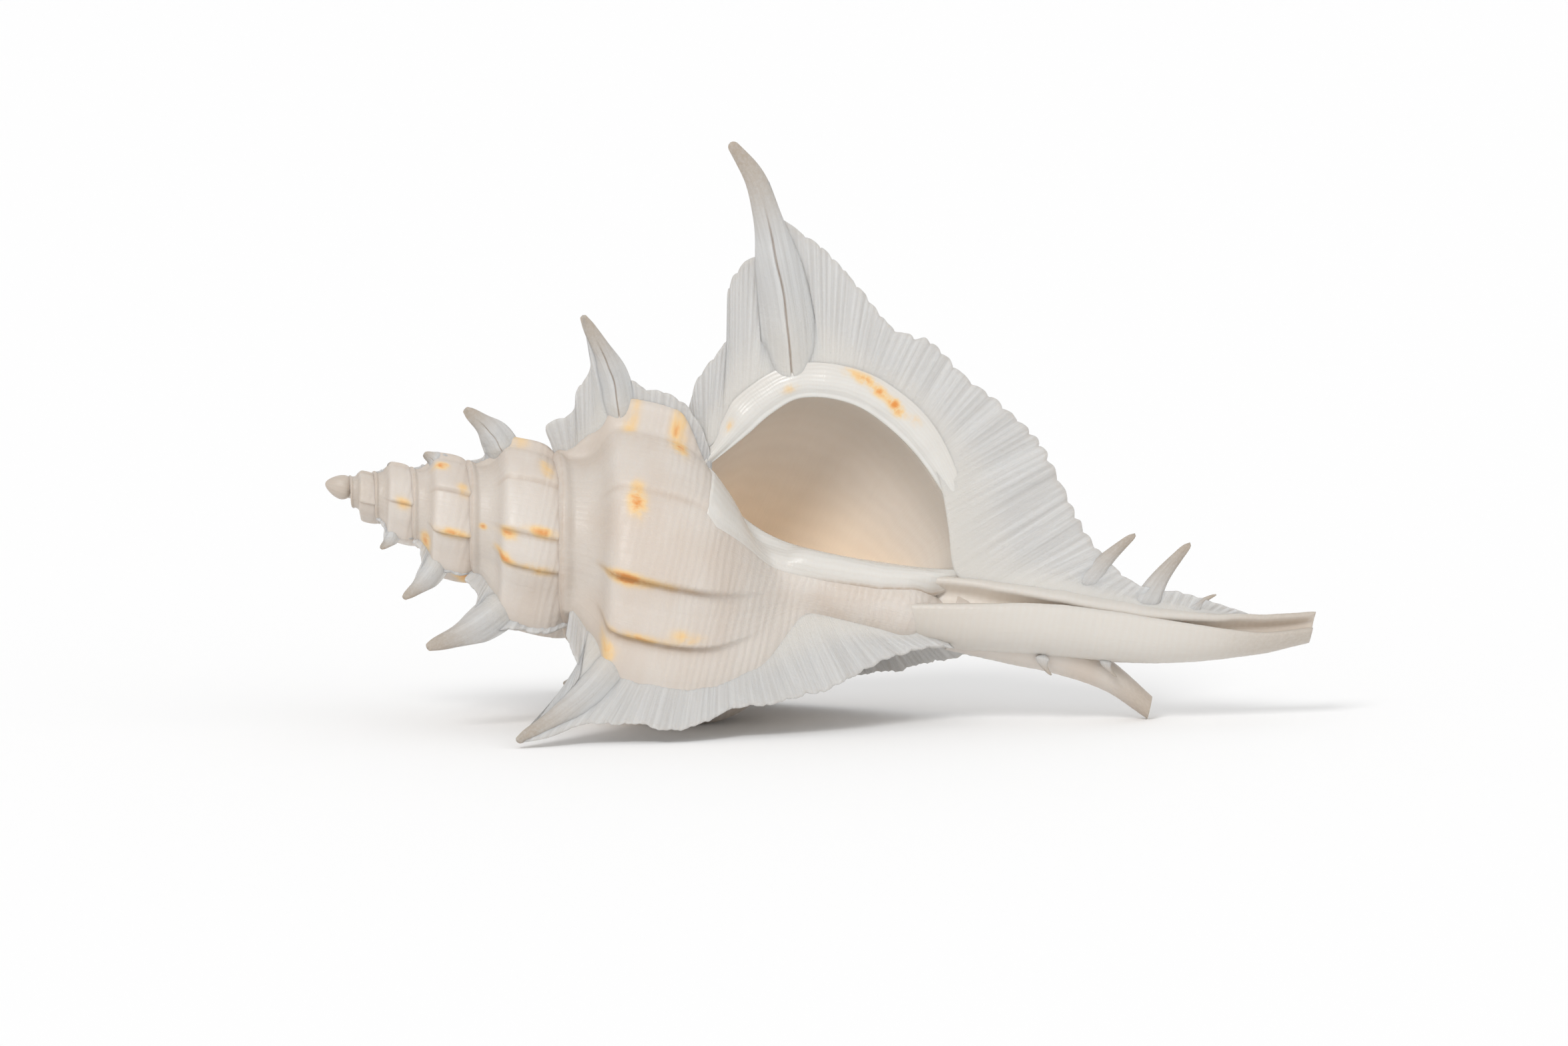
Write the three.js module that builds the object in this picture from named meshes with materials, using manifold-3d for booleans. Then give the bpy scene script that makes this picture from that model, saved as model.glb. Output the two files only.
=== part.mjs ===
// A murex shell of the kind with three winged varices to each whorl: one grown, solid piece.
// Millimetres, +Z up. The shell lies on the tips of two varix spines and on the stub of an
// outgrown canal. Its newest wing points up, its mouth faces -Y and its canal points along +X.
//
// Places on the shell are given in the coil's own terms: a turn counted from the lip (0 at the
// lip, -1 one whorl earlier), a distance along the axis from the pole of the spiral, and a
// distance out from the axis.

import * as THREE from 'three';
import { mergeVertices } from 'three/addons/utils/BufferGeometryUtils.js';
import Module from 'manifold-3d';

const wasm = await Module();
wasm.setup();

// Driving dimensions.
const SHELL_LENGTH = 150; // from the apex to the tip of the canal
const LIP_SIZE = 0.44 * SHELL_LENGTH; // from the pole of the spiral to the shoulder at the lip
const GROWTH_PER_TURN = 1.54;
const APEX_ALONG = 0.06 * LIP_SIZE; // the worn apex lies this far from the pole
const AXIS_DIP = THREE.MathUtils.degToRad(12.6); // the axis slopes down towards the canal
const FLOOR = -0.548 * LIP_SIZE; // height of the surface that the shell lies on, from the pole

// Vertices closer than this are one.
const MERGE_DISTANCE = 1e-3;

// The body.
const NECK_RADIUS = 0.078 * LIP_SIZE;
const BODY_END = 1.53 * LIP_SIZE;
const BODY_RINGS = 62;
const BODY_COLUMNS = 38;
const LIP_FLARE = 0.062 * LIP_SIZE; // how far the thick lip stands out past the whorl
const LIP_FLARE_TURN = 0.06;
const MOUTH_WIDENING = 0.085; // the last part of the whorl opens out by this share
const MOUTH_WIDENING_TURN = 0.3;
const RIBS_PER_TURN = 9;
const RIB_HEIGHT = 0.013; // as a share of the whorl's size

// The hollow that opens at the mouth.
const MOUTH_DEPTH_TURN = 0.5;
const MOUTH_STEPS = 18;
const MOUTH_NARROWING = 0.13; // the hollow is this much narrower deep inside than at the lip

// The wings.
const WING_EDGE_THICKNESS = 0.9;
const WING_ROOT_THICKNESS = 3.4;
const WING_CURL = 0.035; // how far a wing's edge leans back, as a share of the whorl's size

// Outer side of a whorl from suture to neck, as [along, out] in shares of the whorl's size.
const WHORL_PROFILE = [
  [0.8, 0.02],
  [0.85, 0.245],
  [0.91, 0.268],
  [0.96, 0.325],
  [1.0, 0.395],
  [1.06, 0.42],
  [1.2, 0.418],
  [1.31, 0.378],
  [1.42, 0.278],
  [1.5, 0.165],
  [1.57, 0.08],
  [1.62, 0.02],
];

// Section of the hollow at the lip, clockwise from its corner at the suture, in the same shares.
const MOUTH_SECTION = [
  [0.905, 0.225],
  [0.955, 0.29],
  [0.995, 0.36],
  [1.05, 0.422],
  [1.13, 0.44],
  [1.21, 0.434],
  [1.32, 0.378],
  [1.42, 0.275],
  [1.49, 0.165],
  [1.44, 0.108],
  [1.32, 0.094],
  [1.2, 0.088],
  [1.08, 0.096],
  [0.99, 0.128],
  [0.93, 0.195],
];

// The lip's wing as rays from its foot on the whorl to its edge. One ray is the long spine.
const WING_RAYS = [
  { foot: [0.81, 0.3], edge: [0.807, 0.358] },
  { foot: [0.86, 0.34], edge: [0.838, 0.489] },
  { foot: [0.92, 0.4], edge: [0.85, 0.632] },
  { foot: [0.96, 0.45], edge: [0.876, 0.75] },
  { foot: [1.0, 0.49], edge: [0.795, 0.964], spine: true },
  { foot: [1.04, 0.505], edge: [0.895, 0.865] },
  { foot: [1.09, 0.51], edge: [0.99, 0.786] },
  { foot: [1.15, 0.512], edge: [1.1, 0.752] },
  { foot: [1.23, 0.49], edge: [1.22, 0.648] },
  { foot: [1.32, 0.44], edge: [1.37, 0.606] },
  { foot: [1.41, 0.355], edge: [1.52, 0.52] },
  { foot: [1.49, 0.24], edge: [1.63, 0.445] },
  { foot: [1.55, 0.16], edge: [1.69, 0.34] },
  { foot: [1.65, 0.12], edge: [1.79, 0.235] },
  { foot: [1.78, 0.11], edge: [1.9, 0.178] },
];

// Varices from the newest to the oldest: turn, the spine tip's place, and the wing's width
// against the lip's. The two that reach the floor have their reach worked out from it.
const VARICES = [
  { turn: 0, tipAlong: 0.795, tipOut: 0.964, width: 1 },
  { turn: -0.342, tipAlong: 0.79, onFloor: true, width: 0.8 },
  { turn: -0.639, tipAlong: 0.78, onFloor: true, width: 0.5 },
  { turn: -0.986, tipAlong: 0.812, tipOut: 0.775, width: 0.4 },
  { turn: -1.32, tipAlong: 0.79, tipOut: 0.72, width: 0.3 },
  { turn: -1.6, tipAlong: 0.71, tipOut: 0.69, width: 0.25 },
  { turn: -1.986, tipAlong: 0.76, tipOut: 0.57, width: 0.2 },
  { turn: -2.32, tipAlong: 0.8, tipOut: 0.6, width: 0.15 },
  { turn: -2.6, tipAlong: 0.83, tipOut: 0.71, width: 0.1 },
  { turn: -2.986, tipAlong: 0.87, tipOut: 0.56, width: 0.1 },
  { turn: -3.6, tipAlong: 0.9, tipOut: 0.64, width: 0.1 },
];

// The canals: [along, out, towards the back, radius] in shares of the lip's size.
const CANAL = [
  [1.36, 0.008, 0, 0.066],
  [1.45, 0.018, 0, 0.08],
  [1.55, 0.03, 0, 0.083],
  [1.71, 0.048, 0.005, 0.077],
  [1.89, 0.071, 0.02, 0.068],
  [2.07, 0.1, 0.045, 0.055],
  [2.21, 0.136, 0.07, 0.041],
  [2.306, 0.17, 0.09, 0.031],
];
const OLD_CANAL = [
  [1.55, -0.005, 0.02, 0.06],
  [1.72, -0.016, 0.035, 0.048],
  [1.87, -0.045, 0.055, 0.034],
  [1.985, -0.1, 0.075, 0.025],
];
const CANAL_SIDES = 12;
const SLIT_TURN = 0.125; // the canal's slit faces forwards and a little up
const CANAL_SPINES = [
  { at: 0.53, height: 0.17, lean: 0.06 },
  { at: 0.67, height: 0.2, lean: 0.1 },
];

// The whorl's size at a turn: its shoulder's distance from the pole.
function whorlSize(turn) {
  return LIP_SIZE * GROWTH_PER_TURN ** turn;
}

// A point on or in the shell, from the coil's own terms.
function place(turn, along, out) {
  const angle = turn * 2 * Math.PI;
  const up = out * Math.cos(angle);
  return new THREE.Vector3(
    along * Math.cos(AXIS_DIP) + up * Math.sin(AXIS_DIP),
    -out * Math.sin(angle),
    -along * Math.sin(AXIS_DIP) + up * Math.cos(AXIS_DIP),
  );
}

// The direction in which the shell grows at a turn.
function growthDirection(turn) {
  return place(turn + 0.25, 0, 1);
}

// A smooth curve through [x, y] points, read at x.
function readCurve(points, x) {
  const last = points.length - 1;
  if (x <= points[0][0]) {
    return points[0][1];
  }
  if (x >= points[last][0]) {
    return points[last][1];
  }
  const i = points.findIndex((point) => point[0] > x) - 1;
  const slopeAt = (k) => {
    const before = points[Math.max(k - 1, 0)];
    const after = points[Math.min(k + 1, last)];
    return (after[1] - before[1]) / (after[0] - before[0]);
  };
  const [x0, y0] = points[i];
  const [x1, y1] = points[i + 1];
  const span = x1 - x0;
  const t = (x - x0) / span;
  const rise = (3 - 2 * t) * t * t;
  const startPull = slopeAt(i) * span * t * (1 - t) ** 2;
  const endPull = slopeAt(i + 1) * span * t * t * (1 - t);
  return y0 + (y1 - y0) * rise + startPull - endPull;
}

// How far the body reaches out from the axis, past every whorl that crosses this line.
function bodyRadius(turnFraction, along) {
  let radius = along > whorlSize(-1) ? NECK_RADIUS : 0;
  for (let turn = turnFraction - 1; whorlSize(turn) > APEX_ALONG; turn -= 1) {
    const size = whorlSize(turn);
    const flare = LIP_FLARE * THREE.MathUtils.smoothstep(turn, -LIP_FLARE_TURN, 0);
    const widening = MOUTH_WIDENING * THREE.MathUtils.smoothstep(turn, -MOUTH_WIDENING_TURN, 0);
    const rib = RIB_HEIGHT * size * Math.cos(turn * RIBS_PER_TURN * 2 * Math.PI);
    const reach = size * (1 + widening) * readCurve(WHORL_PROFILE, along / size);
    radius = Math.max(radius, reach > 0.1 * size ? reach + flare + rib : reach);
  }
  return radius;
}

// A closed solid through rings of equal length, listed so that their faces point out.
function loft(rings) {
  const sides = rings[0].length;
  const positions = [];
  const index = [];
  for (const ring of rings) {
    for (const point of ring) {
      positions.push(point.x, point.y, point.z);
    }
  }
  for (let k = 0; k + 1 < rings.length; k += 1) {
    for (let i = 0; i < sides; i += 1) {
      const a = k * sides + i;
      const b = k * sides + ((i + 1) % sides);
      index.push(a, b, a + sides);
      index.push(b, b + sides, a + sides);
    }
  }
  for (const [ring, first, flip] of [
    [rings[0], 0, true],
    [rings.at(-1), (rings.length - 1) * sides, false],
  ]) {
    const centre = new THREE.Vector3();
    ring.forEach((point) => centre.addScaledVector(point, 1 / sides));
    const hub = positions.length / 3;
    positions.push(centre.x, centre.y, centre.z);
    for (let i = 0; i < sides; i += 1) {
      const a = first + i;
      const b = first + ((i + 1) % sides);
      index.push(...(flip ? [b, a, hub] : [a, b, hub]));
    }
  }
  const geometry = new THREE.BufferGeometry();
  geometry.setAttribute('position', new THREE.Float32BufferAttribute(positions, 3));
  geometry.setIndex(index);
  return toSolid(geometry);
}

// A geometry as a manifold-3d solid, turned right side out where its rings ran the other way.
function toSolid(geometry) {
  const merged = mergeVertices(geometry, MERGE_DISTANCE);
  const triVerts = new Uint32Array(merged.index.array);
  const vertProperties = merged.attributes.position.array;
  const make = () => new wasm.Manifold(new wasm.Mesh({ numProp: 3, vertProperties, triVerts }));
  const solid = make();
  if (solid.volume() > 0) {
    return solid;
  }
  for (let i = 0; i < triVerts.length; i += 3) {
    [triVerts[i + 1], triVerts[i + 2]] = [triVerts[i + 2], triVerts[i + 1]];
  }
  return make();
}

// The spire and the body whorl, without the hollow.
function makeBody() {
  const rings = [];
  for (let k = 0; k <= BODY_RINGS; k += 1) {
    const along = APEX_ALONG * (BODY_END / APEX_ALONG) ** (k / BODY_RINGS);
    const ring = [];
    for (let i = 0; i <= BODY_COLUMNS; i += 1) {
      const turnFraction = 0.002 + (0.996 * i) / BODY_COLUMNS;
      const radius = Math.max(bodyRadius(turnFraction, along), 0.6);
      ring.push(place(turnFraction, along, radius));
    }
    rings.push(ring);
  }
  return loft(rings);
}

// The hollow behind the mouth: the mouth's section, carried back along the spiral.
function makeMouth() {
  const rings = [];
  for (let k = 0; k <= MOUTH_STEPS; k += 1) {
    const turn = 0.03 - ((MOUTH_DEPTH_TURN + 0.03) * k) / MOUTH_STEPS;
    const size = whorlSize(Math.min(turn, 0));
    const narrowing = 1 - MOUTH_NARROWING * THREE.MathUtils.smoothstep(-turn, 0, 0.3);
    rings.push(
      MOUTH_SECTION.map(([along, out]) => place(turn, along * size, out * size * narrowing)),
    );
  }
  return loft(rings);
}

// How far out a spine's tip is when it touches the floor.
function reachToFloor(turn, along) {
  const drop = Math.cos(turn * 2 * Math.PI) * Math.cos(AXIS_DIP);
  return (FLOOR + along * Math.sin(AXIS_DIP)) / drop;
}

// A varix: the thin wing with its spine, from sunk feet on the whorl out to the edge.
function makeVarix({ turn, tipAlong, tipOut, onFloor, width }) {
  const size = whorlSize(turn);
  const across = growthDirection(turn);
  const spineOut = onFloor ? reachToFloor(turn, tipAlong * size) / size : tipOut;
  const fullSpine = WING_RAYS.find((ray) => ray.spine);
  const spineShare = (spineOut - fullSpine.foot[1]) / (fullSpine.edge[1] - fullSpine.foot[1]);
  const scale = size / LIP_SIZE;
  const spineIndex = WING_RAYS.indexOf(fullSpine);
  const rings = WING_RAYS.map((ray, i) => {
    const nearSpine = Math.max(0, 1 - Math.abs(i - spineIndex) / 3);
    const share = THREE.MathUtils.lerp(width, Math.min(width + 0.25, spineShare), nearSpine);
    const bodyOut = ray.foot[1] - (turn === 0 ? 0 : 0.05);
    const edgeAlong = ray.spine ? tipAlong : ray.foot[0] + (ray.edge[0] - ray.foot[0]) * share;
    const edgeOut = ray.spine ? spineOut : bodyOut + (ray.edge[1] - ray.foot[1]) * share;
    const curl = ray.spine ? 0 : -WING_CURL * size * share;
    const foot = place(turn, ray.foot[0] * size, bodyOut * size * 0.86);
    const edge = place(turn, edgeAlong * size, edgeOut * size).addScaledVector(across, curl);
    const spineWidth = ray.spine ? 1.7 : 1;
    const footHalf = 0.5 * WING_ROOT_THICKNESS * scale * spineWidth;
    const edgeHalf = 0.5 * WING_EDGE_THICKNESS * Math.max(scale, 0.35);
    const middle = foot.clone().lerp(edge, 0.5);
    const middleHalf = 0.5 * (ray.spine ? footHalf + edgeHalf : 1.6 * edgeHalf);
    return [
      foot.clone().addScaledVector(across, -footHalf),
      middle.clone().addScaledVector(across, -middleHalf),
      edge.clone().addScaledVector(across, -edgeHalf),
      edge.clone().addScaledVector(across, edgeHalf),
      middle.clone().addScaledVector(across, middleHalf),
      foot.clone().addScaledVector(across, footHalf),
    ];
  });
  return loft(rings);
}

// The middle line and the radii of a canal, as points for lofting.
function canalStations(stations) {
  return stations.map(([along, out, back, radius]) => {
    const middle = place(0, along * LIP_SIZE, out * LIP_SIZE);
    middle.y += back * LIP_SIZE;
    return { middle, radius: radius * LIP_SIZE };
  });
}

// A closed tube with a round section square to the axis at each station.
function makeTube(stations) {
  const rings = canalStations(stations).map(({ middle, radius }) => {
    const ring = [];
    for (let i = 0; i < CANAL_SIDES; i += 1) {
      ring.push(middle.clone().add(place(i / CANAL_SIDES, 0, radius)));
    }
    return ring;
  });
  return loft(rings);
}

// The slit that opens the canal along its front: narrow at first, and an open gutter at the tip.
function makeSlit() {
  const outward = place(SLIT_TURN, 0, 1);
  const sideways = place(SLIT_TURN + 0.25, 0, 1);
  const stations = canalStations(CANAL);
  const widths = [4.6, 4.6, 4.2, 2.4, 1.6, 1.6, 2.6, 2.9];
  const rings = stations.map(({ middle, radius }, k) => {
    const depth = 0.4 * radius;
    const half = 0.5 * Math.min(widths[k], 1.5 * radius);
    const stretch = k === stations.length - 1 ? 1.5 : 0;
    const start = middle.clone().addScaledVector(place(0, 1, 0), stretch);
    return [
      start.clone().addScaledVector(outward, -depth).addScaledVector(sideways, -half),
      start.clone().addScaledVector(outward, 2 * radius).addScaledVector(sideways, -half),
      start.clone().addScaledVector(outward, 2 * radius).addScaledVector(sideways, half),
      start.clone().addScaledVector(outward, -depth).addScaledVector(sideways, half),
    ];
  });
  return loft(rings);
}

// A short spine on the canal, in line with the lip's wing.
function makeCanalSpine({ at, height, lean }) {
  const stations = canalStations(CANAL);
  const path = new THREE.CatmullRomCurve3(stations.map((station) => station.middle));
  const foot = path.getPoint(at);
  const axis = place(0, 0, 1);
  const along = place(0, 1, 0);
  const tip = foot.clone().addScaledVector(axis, height * LIP_SIZE);
  tip.addScaledVector(along, lean * LIP_SIZE);
  const rings = [0, 0.5, 0.93].map((share) => {
    const middle = foot.clone().lerp(tip, share);
    const radius = 2.6 * (1 - share) + 0.2;
    const ring = [];
    for (let i = 0; i < 8; i += 1) {
      const angle = (i / 8) * 2 * Math.PI;
      const point = middle.clone().addScaledVector(along, radius * Math.cos(angle));
      point.y += 0.5 * radius * Math.sin(angle);
      ring.push(point);
    }
    return ring;
  });
  return loft(rings);
}

// The largest of a solid's separate bodies.
function largestBody(solid) {
  return solid.decompose().reduce((most, body) => (body.volume() > most.volume() ? body : most));
}

// A solid as a three.js geometry.
function toGeometry(solid) {
  const mesh = solid.getMesh();
  const geometry = new THREE.BufferGeometry();
  geometry.setAttribute('position', new THREE.Float32BufferAttribute(mesh.vertProperties, 3));
  geometry.setIndex([...mesh.triVerts]);
  return geometry;
}

// Everything joined, the hollows cut, and the result as one geometry standing on z = 0.
function makeShell() {
  let solid = makeBody();
  for (const varix of VARICES) {
    solid = solid.add(makeVarix(varix));
  }
  solid = solid.add(makeTube(CANAL)).add(makeTube(OLD_CANAL));
  for (const spine of CANAL_SPINES) {
    solid = solid.add(makeCanalSpine(spine));
  }
  solid = solid.subtract(makeMouth()).subtract(makeSlit());
  // Cuts leave loose slivers, and closing up near vertices can free a few more.
  const geometry = toGeometry(largestBody(toSolid(toGeometry(largestBody(solid)))));
  geometry.computeBoundingBox();
  const { min, max } = geometry.boundingBox;
  geometry.translate(-(min.x + max.x) / 2, -(min.y + max.y) / 2, -min.z);
  geometry.computeVertexNormals();
  return geometry;
}

const shellMaterial = new THREE.MeshStandardMaterial({
  color: 0xe8e0d4,
  roughness: 0.55,
  metalness: 0,
});
const shell = new THREE.Mesh(makeShell(), shellMaterial);
shell.name = 'shell';

const murexShell = new THREE.Group();
murexShell.add(shell);

export default murexShell;
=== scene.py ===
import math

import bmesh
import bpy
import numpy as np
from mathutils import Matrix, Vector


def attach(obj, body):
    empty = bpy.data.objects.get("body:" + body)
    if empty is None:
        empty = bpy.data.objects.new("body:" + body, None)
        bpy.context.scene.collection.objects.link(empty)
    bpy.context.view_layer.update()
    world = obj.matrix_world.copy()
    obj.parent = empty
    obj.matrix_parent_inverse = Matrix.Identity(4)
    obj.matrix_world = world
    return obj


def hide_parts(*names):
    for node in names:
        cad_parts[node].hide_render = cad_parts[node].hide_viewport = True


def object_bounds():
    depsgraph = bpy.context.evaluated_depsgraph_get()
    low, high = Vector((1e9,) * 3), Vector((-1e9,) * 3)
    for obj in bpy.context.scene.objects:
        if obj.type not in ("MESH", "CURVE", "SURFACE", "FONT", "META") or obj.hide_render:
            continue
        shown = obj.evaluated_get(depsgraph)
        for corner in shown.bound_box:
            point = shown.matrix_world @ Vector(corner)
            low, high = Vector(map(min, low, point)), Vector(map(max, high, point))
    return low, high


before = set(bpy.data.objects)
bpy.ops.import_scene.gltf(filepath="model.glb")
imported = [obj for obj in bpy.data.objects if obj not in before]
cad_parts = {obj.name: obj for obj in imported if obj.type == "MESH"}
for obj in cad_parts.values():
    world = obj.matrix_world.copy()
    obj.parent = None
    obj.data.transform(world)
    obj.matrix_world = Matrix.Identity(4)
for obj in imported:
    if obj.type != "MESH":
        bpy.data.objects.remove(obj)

# The looks of a murex shell: a shell with three winged varices to each whorl and a long canal.
# Lengths are in millimetres until the meshes are made. Places are given in the coil's own terms:
# turn (0 at the lip, -1 one whorl earlier), along (from the pole of the spiral, along the axis)
# and out (from the axis). A share is a length against the whorl's size at its turn.

cad_low, cad_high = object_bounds()

# ---- driving sizes

SHELL_LENGTH = 150.0
LIP = 0.44 * SHELL_LENGTH
GROWTH_PER_TURN = 1.54
AXIS_DIP = math.radians(12.6)
FLOOR = -0.548 * LIP
NECK = 0.078 * LIP
NECK_START = 0.62 * LIP
NECK_NARROWS = (1.38 * LIP, 1.52 * LIP)
COLUMELLA = 0.094 * LIP
LIP_FLARE = 0.062 * LIP
MOUTH_WIDENING = 0.085
WHORL_REACH = 0.42
MILLIMETRE = 0.001
TIP_CLEARANCE = 0.9  # a resting spine is this much shorter, for the thickness of its tip

# The spire and the body whorl overlap a little. A whorl of the spire runs from its suture to a
# skirt under the next whorl, and the body whorl runs down over the neck.
FIRST_TURN = -6.0
SPIRE_END = -1.42
BODY_START = -1.45
SUTURE = 0.8
SPIRE_SKIRT = 1.38
BODY_END = 1.6 * LIP
APEX_MIDDLE = 0.077 * LIP
APEX_HALF_LENGTH = 0.032 * LIP
APEX_RADIUS = 0.025 * LIP

# Heights of the relief, as shares of the whorl's size.
RIDGE_LEAST = 0.03
RIDGE_PER_WING = 0.085
RIB_HEIGHT = 0.03
LINE_HEIGHT = 0.0009
SWELL_HEIGHT = 0.003

# The margin and the pleats of a wing, in millimetres, and its curl as a share of the size.
LOBE_SPACING = 2.9
LOBE_DEPTH = 0.0085
PLEAT_SPACING = 1.22
LIP_CURL = -0.03
OLDER_CURL = -0.008

# The mouth: the lip's band in millimetres, and how far back the hollow goes in turns.
BAND_WIDTH = 5.2
RIM_HEIGHT = 1.45
HOLLOW_TURNS = 0.62
HOLLOW_MIDDLE = (1.16 * LIP, 0.26 * LIP)

# Outer side of a whorl from suture to neck, as (along, out) shares.
WHORL_PROFILE = [
    (0.8, 0.1), (0.813, 0.268), (0.87, 0.274), (0.93, 0.295), (0.96, 0.33), (0.982, 0.388),
    (1.0, 0.41), (1.06, 0.422), (1.2, 0.418), (1.31, 0.378), (1.42, 0.278), (1.5, 0.165),
    (1.57, 0.08), (1.62, 0.02),
]

# The mouth's edge at the lip, from its corner at the suture round the outer side and back
# along the columella, and the number of its point where the canal starts.
MOUTH_EDGE = [
    (0.885, 0.232), (0.955, 0.32), (0.995, 0.375), (1.05, 0.424), (1.13, 0.44), (1.21, 0.428),
    (1.32, 0.37), (1.42, 0.28), (1.49, 0.19), (1.5, 0.13), (1.44, 0.112), (1.32, 0.1),
    (1.2, 0.094), (1.08, 0.1), (0.99, 0.13), (0.93, 0.178),
]
CANAL_POINT = 9

# Varices: turn, the spine tip's place as shares (None: it reaches the floor) and the wing's
# width against the width of the wings of its kind.
VARICES = [
    (-0.342, 0.79, None, 0.78),
    (-0.639, 0.78, None, 1.0),
    (-0.986, 0.812, 0.775, 1.0),
    (-1.32, 0.79, 0.72, 0.8),
    (-1.6, 0.698, 0.72, 0.7),
    (-1.986, 0.746, 0.56, 0.25),
    (-2.32, 0.8, 0.55, 0.3),
    (-2.6, 0.843, 0.765, 0.45),
    (-2.986, 0.9, 0.42, 0.2),
    (-3.32, 0.88, 0.5, 0.3),
    (-3.6, 0.947, 0.64, 0.3),
    (-3.986, 0.97, 0.42, 0.2),
]

# Low ribs between the varices: turn and height against the tallest.
RIBS = [
    (-0.09, 0.4), (-0.17, 0.7), (-0.25, 0.6), (-0.43, 0.5), (-0.51, 0.8), (-0.575, 0.7),
    (-0.679, 1.0), (-0.7406, 1.0), (-0.852, 0.35), (-1.08, 0.5), (-1.17, 0.8), (-1.25, 0.8),
    (-1.42, 0.6), (-1.51, 0.8), (-1.702, 0.8), (-1.762, 0.7), (-1.87, 0.5), (-2.12, 0.7),
    (-2.22, 0.7), (-2.43, 0.7), (-2.52, 0.7), (-2.71, 0.8), (-2.83, 0.6), (-3.15, 0.6),
    (-3.45, 0.7), (-3.76, 0.7), (-4.2, 0.7), (-4.5, 0.7), (-4.7, 0.7), (-4.95, 0.7),
    (-5.2, 0.7),
]

# Orange marks: turn, share along, half length in turns, half width in shares, strength.
MARKS = [
    (-0.831, 1.06, 0.022, 0.03, 0.85), (-0.735, 1.03, 0.008, 0.06, 1.0),
    (-0.737, 1.15, 0.006, 0.09, 0.4), (-0.657, 0.99, 0.01, 0.03, 0.6),
    (-0.677, 1.08, 0.005, 0.09, 0.6), (-0.686, 1.23, 0.007, 0.05, 0.45),
    (-0.594, 1.25, 0.02, 0.03, 0.3), (-0.96, 1.22, 0.03, 0.03, 0.9),
    (-0.975, 1.05, 0.02, 0.03, 0.4), (-1.75, 1.0, 0.012, 0.05, 0.7),
    (-1.765, 1.18, 0.01, 0.09, 0.7), (-1.704, 0.99, 0.012, 0.05, 0.75),
    (-1.698, 1.15, 0.01, 0.08, 0.6), (-1.906, 1.2, 0.03, 0.04, 0.5),
    (-2.0, 1.06, 0.03, 0.07, 0.5), (-2.92, 1.04, 0.02, 0.06, 0.9),
    (-2.835, 1.2, 0.02, 0.05, 0.6), (-2.71, 1.13, 0.014, 0.12, 0.8),
    (-2.56, 1.2, 0.03, 0.07, 0.8), (-2.63, 0.92, 0.03, 0.04, 0.7),
    (-1.746, 0.88, 0.008, 0.02, 0.8), (-3.76, 1.15, 0.03, 0.1, 0.5),
    (-0.51, 1.02, 0.012, 0.06, 0.8), (-0.43, 1.15, 0.01, 0.08, 0.5),
    (-0.17, 1.05, 0.012, 0.07, 0.8), (-0.25, 1.2, 0.014, 0.06, 0.6),
    (-1.17, 1.03, 0.012, 0.06, 0.7), (-1.45, 1.1, 0.014, 0.07, 0.6),
    (-2.2, 1.08, 0.02, 0.07, 0.7), (-0.09, 1.27, 0.012, 0.04, 0.5),
]

# The newest wing as rays (foot along, foot out, edge along, edge out), all shares, and the
# number of the ray that ends at the spine's tip.
LIP_WING = [
    (0.85, 0.235, 0.81, 0.35), (0.86, 0.252, 0.815, 0.415), (0.875, 0.27, 0.84, 0.472),
    (0.89, 0.29, 0.862, 0.53), (0.908, 0.312, 0.84, 0.622), (0.925, 0.333, 0.852, 0.68),
    (0.943, 0.354, 0.88, 0.718), (0.96, 0.378, 0.925, 0.758), (0.978, 0.4, 0.905, 0.8),
    (1.0, 0.42, 0.872, 0.87), (1.025, 0.44, 0.878, 0.888), (1.06, 0.455, 0.918, 0.82),
    (1.1, 0.466, 1.03, 0.768), (1.145, 0.47, 1.125, 0.703), (1.2, 0.466, 1.225, 0.628),
    (1.265, 0.445, 1.315, 0.615), (1.335, 0.4, 1.405, 0.558), (1.375, 0.35, 1.5, 0.512),
    (1.41, 0.295, 1.597, 0.453), (1.445, 0.21, 1.655, 0.39), (1.48, 0.118, 1.7, 0.332),
    (1.54, 0.088, 1.742, 0.28), (1.63, 0.112, 1.792, 0.234), (1.74, 0.119, 1.838, 0.203),
    (1.83, 0.122, 1.88, 0.181), (1.91, 0.126, 1.93, 0.176), (2.0, 0.132, 2.014, 0.178),
    (2.1, 0.143, 2.134, 0.164), (2.15, 0.149, 2.18, 0.158),
]
LIP_TIP_RAY = 9

# An older wing as rays (foot along, edge along, edge out). Its feet lie on the whorl.
LONG_WING = [
    (0.85, 0.855, 0.403), (0.88, 0.9, 0.502), (0.91, 0.924, 0.552), (0.94, 0.882, 0.678),
    (0.97, 0.822, 0.785), (1.0, 0.78, 0.872), (1.03, 0.862, 0.83), (1.06, 0.94, 0.76),
    (1.09, 0.988, 0.738), (1.14, 1.106, 0.703), (1.21, 1.206, 0.698), (1.28, 1.3, 0.645),
    (1.34, 1.377, 0.56), (1.4, 1.466, 0.515), (1.46, 1.57, 0.45), (1.54, 1.671, 0.375),
    (1.64, 1.775, 0.249), (1.8, 1.902, 0.139), (1.95, 2.0, 0.1),
]
LONG_TIP_RAY = 5

# The same for the wings of the spire.
SHORT_WING = [
    (0.84, 0.795, 0.32), (0.86, 0.769, 0.363), (0.88, 0.79, 0.39), (0.9, 0.851, 0.44),
    (0.92, 0.848, 0.51), (0.945, 0.877, 0.588), (0.97, 0.864, 0.657), (1.0, 0.813, 0.776),
    (1.03, 0.859, 0.727), (1.05, 0.925, 0.646), (1.08, 0.98, 0.611), (1.13, 1.083, 0.574),
    (1.18, 1.153, 0.577), (1.25, 1.231, 0.547), (1.32, 1.31, 0.47), (1.38, 1.36, 0.38),
]
SHORT_TIP_RAY = 7

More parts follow.
